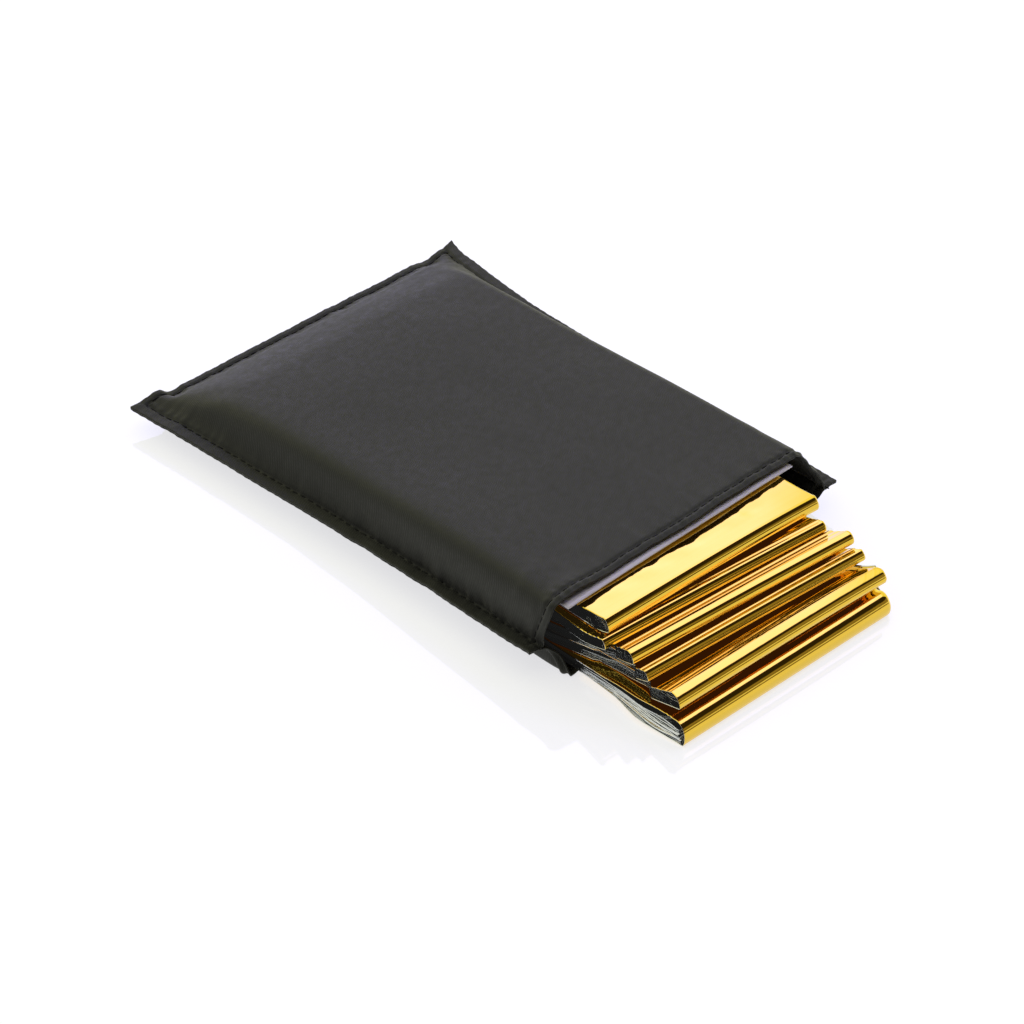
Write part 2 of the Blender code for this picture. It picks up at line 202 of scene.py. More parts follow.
# Left ends of the bundles: how far the inner layers lie inside the skin, how far behind the nose
# the whole end draws back, how far the upper and lower runs hollow out behind the nose and how
# much less the innermost layer does, how far the lower run flares out, and how crinkled it is.
END_COLUMNS = ("recess", "tail", "hollow_top", "hollow_low", "hollow_fade", "flare", "crinkle")
END_ROWS = (
    (7.0, 40.0, 6.0, 6.0, 0.8, 0.0, 0.12),
    (8.0, 40.0, 6.0, 6.0, 0.8, 0.0, 0.12),
    (6.0, 6.5, 6.0, 6.0, 0.8, 0.0, 0.12),
    (4.0, 4.0, 6.0, 6.0, 0.8, 0.0, 0.12),
    (4.0, 10.0, 10.0, 3.0, 0.8, 0.0, 0.12),
    (0.3, 40.0, 12.0, 0.0, 0.2, 2.2, 0.36),
)
TAIL, TAIL_OVER = 3.5, 3.0              # how far an end draws back, and over what length
HOLLOW_AT, HOLLOW_WIDTH = 5.0, 6.0      # where it hollows out behind the nose
FLARE_AT, FLARE_WIDTH = -113.0, 11.0    # where the lowest bundle flares out, below a height
FLARE_TOP, FLARE_OVER = 4.5, 4.0
RAGGED = 0.5                            # unevenness of a layer's left edge
WAVE, WAVE_FROM, WAVE_OVER = 0.10, -90.0, 20.0      # height of the inner layers' waves
CRINKLE_POWER, CRINKLE_FROM, CRINKLE_OVER = 16, -112.0, 12.0
CALM_LAYERS = 4                         # how many layers under the skin wander less
LAYER_STEP, RECESS_CHANCE = 0.12, 0.35  # how much the layers' recesses differ
RECESS_FROM, RECESS_OVER = -78.0, 5.0   # where the recess begins
END_FROM, TAIL_FADE, TAPER_FADE = -86.0, 4.0, 5.0
TAPER_FROM, TAPER_OVER = 1.5, 3.5       # where a right end narrows behind its nose
LEFT_POWER, RIGHT_POWER = 4, 12         # how close to its end a strip is drawn in
# Lengths along each nose's section, from its crown down: while it turns from level to 38 degrees,
# then to 56, to 70 and to 100, and the radius of its foot.
NOSE_ANGLES = (0.0, 38.0, 56.0, 70.0, 100.0, 180.0)
NOSE_COLUMNS = ("crown", "shoulder", "face", "front", "foot")
NOSE_ROWS = (
    (0.60, 1.00, 1.50, 1.40, 0.5),
    (0.45, 0.75, 1.20, 0.70, 0.5),
    (1.45, 0.70, 1.20, 1.10, 0.5),
    (0.45, 0.75, 1.50, 0.60, 0.5),
    (2.40, 0.60, 1.65, 1.00, 0.6),
    (1.50, 1.40, 1.80, 2.70, 1.0),
)
NOSE_STEPS = (8, 6, 12, 12, 7)
PRESSED_LINES = 12.0        # degrees that the lines pressed into the noses tilt them
PRESSED_SEGMENTS = (2, 3)   # the segments that have such lines: the face and the front
# Small ridges behind the noses: bundle, distance behind the crown at the left and the right end,
# height and half width.
RIDGE_COLUMNS = ("bundle", "left", "right", "height", "width")
RIDGE_ROWS = (
    (1, 1.6, 1.2, 0.22, 0.40),
    (2, 3.0, 3.8, 0.25, 0.45),
    (3, 1.6, 2.0, 0.22, 0.40),
    (4, 5.4, 4.8, 0.12, 0.50),
    (5, 2.6, 2.2, 0.22, 0.38),
    (5, 4.2, 3.6, 0.18, 0.38),
)
# Fine lines behind all noses but the first: height, where they begin and end behind the crown,
# the length over which they fade, and how much further back they lie at the right end.
LINE_HEIGHT, LINE_FROM, LINE_END, LINE_FADE, LINE_SLANT = 0.034, 1.2, 12.0, 4.0, 0.35
SOLID_CLOTH = 1.0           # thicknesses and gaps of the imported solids
SOLID_CARD = 1.0
SOLID_CARD_SPACE = 0.4
SOLID_FILM = 1.0
SOLID_GAP = 0.3
MOST_ROUND = 0.55           # most of a bundle's half thickness that a right end's round takes
TIGHT = 0.8                 # thickness of all the layers where they lie flat
SPREAD_HASTE = 1.15         # how early in the fan they have spread
LAYERS = 10                 # sheets that stand for the film's twenty
GOLD_LAYERS = (0, 3)        # the sheets whose gold side shows
FIRST_DEPTH = 0.13          # clear space between the outermost sheet and the others
TOP_WAVES_AT, TOP_WAVES_WIDTH = -88.0, 2.8      # where the top bundle bends unevenly
OPENING_CHANCE = 0.45       # how unevenly the inner layers leave the skin
TIP_BEHIND, TIP_SPREAD, TIP_CHANCE = 0.3, 2.2, 0.8  # how far their tips lie behind the nose's heel
TIP_DEPTH, TIP_RADIUS = 0.1, 0.07                   # the round of a tip
TURN_POWER = 1.3            # how late they drop towards their tips
DROOP_POWER = 4             # how close to the right end a nose droops
RUN_END = 0.98              # the share of a fan up to which a run's right end is rounded
FINE_STEPS, PLAIN_STEPS = (12, 48), (6, 16)     # along a run: inside the pouch and outside it
FINE_COLUMNS, PLAIN_COLUMNS = 22, 5             # across the middle of the strip
LEFT_PARTS = (0.0, 0.004, 0.01, 0.02, 0.035, 0.06)  # places from each end, as shares of the width
RIGHT_PARTS = (0.035, 0.022, 0.0155, 0.012, 0.008, 0.0045, 0.0018, 0.0004, 0.0)
MIDDLE_PARTS = 0.88
RUN_CROWDING = 2.1          # how much closer a run's points are at its nose
TURN_STEPS = 10
BACK_STEPS = 5

# Camera: angles in degrees, distances in metres.
VIEW_AZIMUTH = -43.15
VIEW_ELEVATION = 37.62
VIEW_DISTANCE = 1.125
VIEW_LENS = 140.625
VIEW_SENSOR = 36.0
VIEW_TARGET = (-10.5, -22.0, 0.0)

# Studio light by the height of a direction: (height, brightness, tint), in the open front, on
# the left and in the tent behind and overhead.
PLAIN = (1.0, 1.0, 1.0)
SOFT = (1.0, 1.0, 0.6)
COOL = (1.0, 0.9, 2.5)
WARM = (1.0, 0.82, 0.5)
PALE = (1.0, 1.0, 0.8)
BLUISH = (1.0, 1.0, 1.12)
TENT_EDGE = {1: -0.39, 2: -0.47}    # a direction's Y where the tent gives way to the room
SIDE_EDGE = {1: -0.2, 2: -0.6}      # a direction's X where it gives way to the left side
ROOM_STOPS = ((-1.0, 0.3, WARM), (0.0, 0.12, WARM), (0.06, 0.24, WARM), (0.20, 0.34, WARM),
              (0.27, 0.24, WARM), (0.33, 0.02, WARM), (1.0, 0.02, WARM))
SIDE_STOPS = ((-1.0, 0.5, BLUISH), (0.0, 0.5, BLUISH), (0.3, 0.45, BLUISH), (0.7, 1.0, PLAIN),
              (1.0, 1.55, PALE))
TENT_STOPS = ((-1.0, 0.9, PLAIN), (-0.02, 0.9, PLAIN), (0.08, 1.3, PLAIN), (0.28, 1.8, SOFT),
              (0.42, 1.6, SOFT), (0.6, 1.4, PALE), (0.72, 1.75, PLAIN), (1.0, 1.8, PLAIN))
# The tent by a direction's X: a brighter and cooler strip runs along it.
STRIP_STOPS = ((-1.0, 0.8, PALE), (0.42, 0.72, PALE), (0.48, 1.0, COOL), (0.605, 1.0, COOL),
               (0.665, 0.72, PALE), (1.0, 0.7, PALE))

# The tables' origin in the frame: the top panel's far left corner is its furthest point both ways.
LOW_CORNER, HIGH_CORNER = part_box("pouch_top_panel")
FAR_LEFT = TOP_ROWS[0][1]
PLACE = Vector((LOW_CORNER[0] - FAR_LEFT * MM, HIGH_CORNER[1] - (FAR_EDGE + EAR) * MM, 0.0))


# ---------------------------------------------------------------- curves and sections

def table(rows, columns):
    named = [dict(zip(columns, row)) for row in rows]
    return sorted(named, key=lambda row: row["y"]) if "y" in columns else named


def hermite(start, end, enter, leave, t):
    return ((2 * t ** 3 - 3 * t ** 2 + 1) * start + (t ** 3 - 2 * t ** 2 + t) * enter
            + (3 * t ** 2 - 2 * t ** 3) * end + (t ** 3 - t ** 2) * leave)


def value_at(rows, column, place, key="y"):
    """The column's value at a place, on a smooth curve through the rows that doesn't overshoot."""
    places = [row[key] for row in rows]
    values = [row[column] for row in rows]
    place = min(max(place, places[0]), places[-1])
    index = max(i for i, start in enumerate(places[:-1]) if start <= place)
    slopes = [(values[i + 1] - values[i]) / (places[i + 1] - places[i])
              for i in range(len(rows) - 1)]

    def tangent(i):
        if i in (0, len(slopes)):
            return slopes[min(i, len(slopes) - 1)]
        before, after = slopes[i - 1], slopes[i]
        return 0.0 if before * after <= 0 else 2 * before * after / (before + after)

    width = places[index + 1] - places[index]
    t = (place - places[index]) / width
    return hermite(values[index], values[index + 1], tangent(index) * width,
                   tangent(index + 1) * width, t)


def section_at(rows, y):
    """All of a section's values at a place along the pouch."""
    return {column: value_at(rows, column, y) for column in rows[0] if column != "y"}


def curve_through(knots, counts):
    """Points on a smooth curve through knots, with a number of steps for each span."""
    spans = [(end - start).length for start, end in zip(knots, knots[1:])]
    points = []
    for i, count in enumerate(counts):
        start, end = knots[i], knots[i + 1]
        before = knots[i - 1] if i else start
        after = knots[i + 2] if i + 2 < len(knots) else end
        enter = (end - before).normalized() * min(spans[i], 1.5 * spans[max(i - 1, 0)])
        leave = (after - start).normalized() * min(spans[i], 1.5 * spans[min(i + 1, len(spans) - 1)])
        for step in range(count):
            points.append(hermite(start, end, enter, leave, step / count))
    return points + [knots[-1].copy()]


def ease(value):
    value = min(max(value, 0.0), 1.0)
    return value * value * (3 - 2 * value)


def bump(distance, width):
    return math.exp(-(distance / width) ** 2)


def drift(*place, seed=0.0):
    """Smooth noise between about -1 and 1 at up to two coordinates."""
    x, y = (place + (0.0,))[:2]
    return noise.noise(Vector((x, y, 17.3 + 5.7 * seed))) * 1.6


def waves(rows, x, y=0.0):
    """Height of uneven waves at a place."""
    return sum(height * drift(x * pace, y * cross, seed=seed) for pace, cross, height, seed in rows)


# ---------------------------------------------------------------- meshes

def surface_normals(grid):
    """Unit normals of a grid of points, from its rows' and columns' directions."""
    along = np.gradient(grid, axis=0)
    across = np.gradient(grid, axis=1)
    normals = np.cross(across, along)
    return normals / (np.linalg.norm(normals, axis=2, keepdims=True) + 1e-12)


def run_lengths(grid, axis):
    """Length along each row or column of a grid up to each point."""
    steps = np.linalg.norm(np.diff(grid, axis=axis), axis=2)
    lead = np.zeros_like(np.take(steps, [0], axis=axis))
    return np.cumsum(np.concatenate([lead, steps], axis=axis), axis=axis)


def sheet_object(name, grid, thickness, materials, offset=-1.0):
    """A closed sheet through a grid of points in millimetres, with a UV map in metres.

    The first material is on the face that the grid's normals point to, and the last one is on
    the other face and the rim.
    """
    rows, columns = grid.shape[:2]
    points = grid.reshape(-1, 3) * MM + np.array(PLACE)
    index = np.arange(rows * columns).reshape(rows, columns)
    corners = np.stack([index[:-1, :-1], index[:-1, 1:], index[1:, 1:], index[1:, :-1]], axis=-1)
    mesh = bpy.data.meshes.new(name)
    mesh.from_pydata(points.tolist(), [], corners.reshape(-1, 4).tolist())
    across = run_lengths(grid, 1) * MM
    along = run_lengths(grid, 0) * MM
    layer = mesh.uv_layers.new(name="cloth")
    flat = np.stack([across.reshape(-1), along.reshape(-1)], axis=1)
    layer.data.foreach_set("uv", flat[corners.reshape(-1)].reshape(-1))
    mesh.shade_smooth()
    for material in materials:
        mesh.materials.append(material)
    item = bpy.data.objects.new(name, mesh)
    bpy.context.scene.collection.objects.link(item)
    solid = item.modifiers.new("Thickness", "SOLIDIFY")
    solid.thickness = thickness * MM
    solid.offset = offset
    solid.use_even_offset = False
    solid.material_offset = len(materials) - 1
    solid.material_offset_rim = len(materials) - 1
    return item


# ---------------------------------------------------------------- materials

# Film: the light that further mirrorings give back, and the depth of its creases in metres.
GOLD_GLOW, GOLD_CREASE = "#160b02", 0.000024
SILVER_GLOW, SILVER_CREASE = "#0c0c0c", 0.00006


def linear(code):
    """A colour given as an sRGB hex code, turned to linear."""
    channels = [int(code[i:i + 2], 16) / 255 for i in (1, 3, 5)]
    return (*(c / 12.92 if c <= 0.04045 else ((c + 0.055) / 1.055) ** 2.4 for c in channels), 1.0)


def fit(tree, node, settings=(), links=()):
    """Give a node its settings and its links: a key is an input's name or index."""
    for key, value in dict(settings).items():
        if isinstance(key, str) and hasattr(node, key):
            setattr(node, key, value)
        else:
            node.inputs[key].default_value = value
    for key, socket in dict(links).items():
        tree.links.new(socket, node.inputs[key])
    return node


def add(tree, kind, settings=(), links=()):
    return fit(tree, tree.nodes.new(kind), settings, links)


def new_material(name, place="UV"):
    """A material, its nodes, its shader and the place on the surface."""
    material = bpy.data.materials.new(name)
    material.use_nodes = True
    tree = material.node_tree
    places = add(tree, "ShaderNodeTexCoord").outputs
    return material, tree, tree.nodes["Principled BSDF"], places[place]


def mapped(tree, place, setting, value):
    return add(tree, "ShaderNodeMapping", {setting: value}, {"Vector": place}).outputs["Vector"]


def grain(tree, place, scale, detail=2.0, roughness=0.5):
    """Noise from 0 to 1."""
    settings = {"Scale": scale, "Detail": detail, "Roughness": roughness}
    return add(tree, "ShaderNodeTexNoise", settings, {"Vector": place}).outputs["Fac"]


def bands(tree, place, pitch, distortion, direction):
    """Even bands across a direction, from 0 to 1."""
    settings = {"bands_direction": direction, "Scale": 2 * math.pi / (20 * pitch),
                "Distortion": distortion, "Detail": 0.0}
    return add(tree, "ShaderNodeTexWave", settings, {"Vector": place}).outputs["Fac"]


def weighted(tree, value, weight, base):
    """A value times a weight, added to a base."""
    settings = {"operation": "MULTIPLY_ADD", 1: weight}
    return add(tree, "ShaderNodeMath", settings, {0: value, 2: base}).outputs[0]


def ranged(tree, value, settings):
    return add(tree, "ShaderNodeMapRange", settings, {0: value}).outputs[0]


def mixed(tree, settings, links):
    """A mix of colours: input 0 is the share, and 6 and 7 are the colours."""
    return add(tree, "ShaderNodeMix", {"data_type": "RGBA", **settings}, links).outputs[2]


def raised(tree, height, strength, depth):
    settings = {"Strength": strength, "Distance": depth}
    return add(tree, "ShaderNodeBump", settings, {"Height": height}).outputs["Normal"]


def woven_polyester(settings):
    """Black polyester twill, calendered on its face: a dull cloth with a soft grey sheen.

    Its diagonal ribs are drawn 0.62 mm apart, twice the real pitch, so that they show.
    """
    material, tree, shader, place = new_material("black woven polyester")
    turned = mapped(tree, place, "Rotation", (0, 0, math.radians(58)))
    ribs = bands(tree, turned, settings.rib_pitch, 0.4, "X")
    crossing = bands(tree, place, settings.rib_pitch, 0.3, "Y")
    weave = weighted(tree, crossing, 0.35, ribs)
    rubbed = grain(tree, place, 380.0, 4.0, 0.7)
    slubs = grain(tree, place, 900.0)
    shades = {6: linear(settings.cloth_dark), 7: linear(settings.cloth_light)}
    shade = mixed(tree, shades, {0: rubbed})
    tint = mixed(tree, {"blend_type": "MULTIPLY", 0: 0.35}, {6: shade, 7: weave})
    relief = raised(tree, weighted(tree, slubs, 0.5, weave), 0.55, 0.00006)
    rough = ranged(tree, rubbed, {1: 0.3, 2: 0.7, 3: 0.52, 4: 0.68})
    fit(tree, shader,
        {"IOR": 1.44, "Sheen Weight": 0.12, "Sheen Roughness": 0.45,
         "Sheen Tint": linear("#d8d8cc"), "Specular Tint": linear("#dde0c9")},
        {"Base Color": tint, "Roughness": rough, "Normal": relief})
    return material


def sewing_thread():
    """Twisted polyester thread: a little glossier and darker than the cloth it sinks into."""
    material, tree, shader, place = new_material("black polyester thread", "Object")
    shades = {6: linear("#060606"), 7: linear("#161616")}
    shade = mixed(tree, shades, {0: grain(tree, place, 2500.0)})
    fit(tree, shader, {"Roughness": 0.6, "Specular Tint": linear("#90908a")},
        {"Base Color": shade})
    return material


def coated_card():
    """White coated card: smooth, faintly lilac, with a low satin gloss and barely any fibre."""
    material, tree, shader, place = new_material("coated card")
    shades = {6: linear("#c6c0cc"), 7: linear("#d6d1da")}
    shade = mixed(tree, shades, {0: grain(tree, place, 700.0, 3.0)})
    fit(tree, shader, {"Roughness": 0.38}, {"Base Color": shade})
    return material


def metallised_film(name, color, glow, crease_depth):
    """Aluminised polyester film: a mirror under a clear skin, with creases along its folds.

    The creases are about 2 mm apart across the fold, and each runs for some 100 mm. The faint
    glow gives back the light of the many further mirrorings between folds, which a renderer cuts.
    """
    material, tree, shader, place = new_material(name)
    creases = grain(tree, mapped(tree, place, "Scale", (9.0, 420.0, 1.0)), 1.0)
    swells = grain(tree, mapped(tree, place, "Scale", (60.0, 110.0, 1.0)), 1.0, 1.0)
    relief = raised(tree, weighted(tree, swells, 0.5, creases), 1.0, crease_depth)
    fit(tree, shader,
        {"Base Color": linear(color), "Metallic": 1.0, "Roughness": 0.03, "Coat Weight": 1.0,
         "Coat IOR": 1.5, "Coat Roughness": 0.03, "Emission Color": linear(glow),
         "Emission Strength": 1.0},
        {"Normal": relief, "Coat Normal": relief})
    return material


def glossy_floor():
    """White acrylic light table: lit from below as well, so that it burns out and its shadows
    stay weak, with a faint mirror of what stands on it."""
    material, tree, shader, place = new_material("white acrylic", "Object")
    rough = ranged(tree, grain(tree, place, 6.0), {3: 0.03, 4: 0.05})
    fit(tree, shader,
        {"Base Color": linear("#959595"), "IOR": 1.49, "Emission Color": linear("#fcfcff"),
         "Emission Strength": 0.71},
        {"Roughness": rough})
    return material


# ---------------------------------------------------------------- pouch

def panel_stations():
    """Places along the pouch from mouth to far end, closest at the mouth and the far seam."""
    places = []
    for step in range(PANEL_STATIONS + 1):
        share = step / PANEL_STATIONS
        even = share - PANEL_CROWDING * math.sin(2 * math.pi * share)
        places.append(MOUTH + (FAR_EDGE - MOUTH) * even)
    return places


def draw_ends(points, y, lip, shares):
    """Draw the mouth's edge forward and the far corners out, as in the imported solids."""
    left, right = points[0].x, points[-1].x
    mouth_fade = ease(1 - (y - MOUTH) / MOUTH_FADE)
    ear_fade = ease(1 - (FAR_EDGE - y) / EAR_FADE)
    for point, share in zip(points, shares):
        across = (point.x - left) / (right - left)
        forward = (lip[0] * (1 - across) + lip[1] * across) * ease(share) * mouth_fade
        back = SEAM_BACK * (1 - across) * (1 - ease(share)) * mouth_fade
        point.y = y - forward + back + EAR * abs(2 * across - 1) ** EAR_POWER * ear_fade


def flanged(knots, counts):
    """A section whose first and last spans are the straight flanges."""
    shares = [step / FLANGE_STEPS for step in range(FLANGE_STEPS)]
    left = [knots[0].lerp(knots[1], share) for share in shares]
    right = [knots[-1].lerp(knots[-2], share) for share in shares]
    return left + curve_through(knots[1:-1], counts) + right[::-1]


def rounded_shoulder(points, x, z):
    """A section's points with the shoulder at (x, z) rounded off."""
    line = np.array(points)
    near = [bump(math.hypot(point.x - x, point.z - z), SHOULDER_REACH) for point in points]
    share = 0.5 * np.array(near)[1:-1, None]
    for _ in range(SHOULDER_PASSES):
        line[1:-1] += share * ((line[:-2] + line[2:]) / 2 - line[1:-1])
    return line


def top_grid(cloth):
    """The top panel's points, a row for each section from the mouth to the far end."""
    rows = table(TOP_ROWS, TOP_COLUMNS)
    left_low, left_high, right_low = TOP_WALL_RISE
    grid = []
    for y in panel_stations():
        row = section_at(rows, y)
        left_base = row["left_seam"] - SEAM_DROP + SEAM_GAP + cloth
        right_base = row["right_seam"] - SEAM_DROP + SEAM_GAP + cloth
        left_rise = row["top"] - left_base
        right_rise = row["top"] - right_base
        knots = [Vector((x, y, z)) for x, z in (
            (row["left_edge"], left_base),
            (row["left_edge"] + FLANGE, left_base),
            (row["left_wall"], left_base + left_low * left_rise),
            (0.75 * row["left_wall"] + 0.25 * row["left_shoulder"],
             left_base + left_high * left_rise),
            (row["left_shoulder"], row["top"]),
            (0.5 * (row["left_shoulder"] + row["right_shoulder"]), row["top"]),
            (row["right_shoulder"], row["top"]),
            (row["right_wall"], right_base + right_low * right_rise),
            (row["right_edge"] - FLANGE, right_base),
            (row["right_edge"], right_base),
        )]
        points = flanged(knots, TOP_STEPS)
        rises = [(point.z - left_base) / max(left_rise, 1.0) for point in points]
        draw_ends(points, y, TOP_LIP, rises)
        for point in points:
            across = (point.x - row["left_shoulder"]) / (row["right_shoulder"] - row["left_shoulder"])
            crown = TOP_CROWN * math.sin(math.pi * min(max(across, 0.0), 1.0))
            point.z = min(point.z, row["top"]) + crown * min(left_rise / 10, 1.0)
        grid.append(rounded_shoulder(points, row["left_shoulder"], row["top"]))
    return np.array(grid)


def bottom_grid(cloth):
    """The bottom panel's points, a row for each section from the mouth to the far end."""
    tops = table(TOP_ROWS, TOP_COLUMNS)
    rows = table(BOTTOM_ROWS, BOTTOM_COLUMNS)
    left_low, right_low = BOTTOM_WALL_RISE
    grid = []
    for y in panel_stations():
        top = section_at(tops, y)
        row = section_at(rows, y)
        floor = row["middle"] + cloth + FLOOR_GAP
        left_base = top["left_seam"] - SEAM_DROP - SEAM_GAP
        right_base = top["right_seam"] - SEAM_DROP - SEAM_GAP
        floor = min(floor, left_base, right_base)
        left_rise = left_base - floor
        right_rise = right_base - floor
        knots = [Vector((x, y, z)) for x, z in (
            (top["left_edge"], left_base),
            (top["left_edge"] + FLANGE, left_base),
            (row["left_turn"], floor + left_low * left_rise),
            (row["left_floor"], floor),
            (0.0, floor),
            (row["right_floor"], floor),
            (row["right_turn"], floor + right_low * right_rise),
            (top["right_edge"] - FLANGE, right_base),
            (top["right_edge"], right_base),
        )]
        points = flanged(knots, BOTTOM_STEPS)
        drops = [(left_base - point.z) / max(left_rise, 1.0) for point in points]
        draw_ends(points, y, BOTTOM_LIP, drops)
        for point in points:
            point.z = max(point.z, floor)
        grid.append([tuple(point) for point in points])
    return np.array(grid)


def seam_places(grid):
    """Each point's distance from the nearest sewn edge, its place along the sewn edges, and its
    distances from the mouth's edge and from the far end's."""
    across = run_lengths(grid, 1)
    along = run_lengths(grid, 0)
    left, right = across, across[:, -1:] - across
    far = along[-1:, :] - along
    inner = far + FLANGE - FAR_FLANGE
    edge = np.minimum(np.minimum(left, right), inner)
    place = np.where(edge == inner, grid[:, :, 0] + FAR_PLACE, grid[:, :, 1])
    place = np.where(edge == right, RIGHT_PLACE - grid[:, :, 1], place)
    return edge, place, along, far


def crease_depth(x, y, creases):
    """Depth of all creases at a place: each fades to half its depth at its far end."""
    depth = 0.0
    for crease in creases:
        start = Vector((crease["x0"], crease["y0"]))
        run = Vector((crease["x1"], crease["y1"])) - start
        share = min(max((Vector((x, y)) - start).dot(run) / run.length_squared, 0.0), 1.0)
        distance = (Vector((x, y)) - start - run * share).length
        depth += crease["depth"] * bump(distance, crease["width"]) * (1 - 0.5 * share)
    return depth


def stitch_beat(place, wander, slow, seed):
    """How near a place along a seam is to a stitch, from 0 to 1, on a slightly uneven pitch."""
    turns = 2 * math.pi / STITCH_PITCH
    return 0.5 + 0.5 * math.sin(turns * place + wander * drift(place * slow, seed=seed))


def stitched(rows, distance, beat):
    """Height of the cloth at a distance from its topstitch, by how near a stitch is."""
    return sum((rise + pull * beat) * bump(distance - place, width)
               for rise, pull, place, width in rows)


def seam_relief(near, run, beat):
    """Height of the cloth by the sewn edges: the topstitch's relief, the raised flange, and
    longer puckers over the panel."""
    lift = stitched(SEAM_RELIEF, near - FLANGE, beat)
    lift += FLANGE_RISE * ease((FLANGE - near) / FLANGE_RISE_OVER)
    return lift + waves(PUCKER_WAVES, run) * bump(near - FLANGE - PUCKER_AT, PUCKER_WIDTH)


def hem_relief(x, near, hem, relief):
    """Height of the cloth by the mouth: the topstitch's relief, the edge that curls down, and
    ripples that run into the panel."""
    inside = ease(near / FLANGE)
    lift = stitched(HEM_RELIEF, hem - HEM_STITCH, stitch_beat(x, *HEM_BEAT))
    lift -= HEM_CURL * bump(hem, HEM_CURL_WIDTH) * relief
    ripple = waves(RIPPLE_WAVES, x) * bump(hem, RIPPLE_WIDTH) * ease(near / RIPPLE_FADE)
    return lift * inside + ripple


def sewn_cloth(grid, relief, creases=()):
    """The grid moved along its normals by seams, hem, dents and creases, with its edges uneven."""
    normals = surface_normals(grid)
    edges = table(EDGE_ROWS, EDGE_COLUMNS)
    edge, place, mouth, far = seam_places(grid)
    moved = grid.copy()
    for i in range(grid.shape[0]):
        for j in range(grid.shape[1]):
            x, y, z = grid[i, j]
            near, run, hem = edge[i, j], place[i, j], mouth[i, j]
            beat = stitch_beat(run, *SEAM_BEAT)
            lift = seam_relief(near, run, beat) + hem_relief(x, near, hem, relief)
            lift += relief * ease((near - DENT_FROM) / DENT_OVER) * waves(DENT_WAVES, x, y)
            lift -= crease_depth(x, y, creases)
            moved[i, j] += normals[i, j] * lift
            wavy = EDGE_BEAT * (beat - 0.5) + waves(EDGE_WAVES, run)
            wavy *= ease(1 - near / FLANGE)
            if abs(run - FAR_PLACE) < SIDE_SPAN:
                moved[i, j, 1] += wavy
            else:
                moved[i, j, 0] += wavy if run > FAR_PLACE else -wavy
            moved[i, j, 1] -= waves(HEM_WAVES, x, z) * bump(hem, HEM_DRIFT_WIDTH)
            rise = value_at(edges, "lift", x, key="x")
            moved[i, j, 2] += rise * ease((EDGE_REACH - far[i, j]) / EDGE_REACH)
    return moved


# ---------------------------------------------------------------- card

def card_grid():
    """The card's points, from its front edge back, at one depth under the top panel."""
    tops = table(TOP_ROWS, TOP_COLUMNS)
    rows = table(CARD_ROWS, CARD_COLUMNS)
    along, across = CARD_STEPS
    grid = []
    for step in range(along + 1):
        line = []
        for part in range(across + 1):
            x = rows[0]["x"] + (rows[-1]["x"] - rows[0]["x"]) * part / across
            front = value_at(rows, "front", x, key="x")
            back = value_at(rows, "back", x, key="x")
            y = front + (back - front) * step / along
            wave = waves(CARD_WAVES, x) * bump(step, CARD_WAVE_STEPS)
            line.append((x, y, value_at(tops, "top", y) - CARD_UNDER_TOP + wave))
        grid.append(line)
    return np.array(grid)


# ---------------------------------------------------------------- film

def past(y, start, over):
    """How far y lies past a place towards the mouth, from 0 to 1 over a length."""
    return ease((start - y) / over)


def behind_by(distance, start, over):
    """0 up to some way behind a nose, and rising to 1 over a length beyond it."""
    return 1 - bump(max(distance - start, 0.0), over)


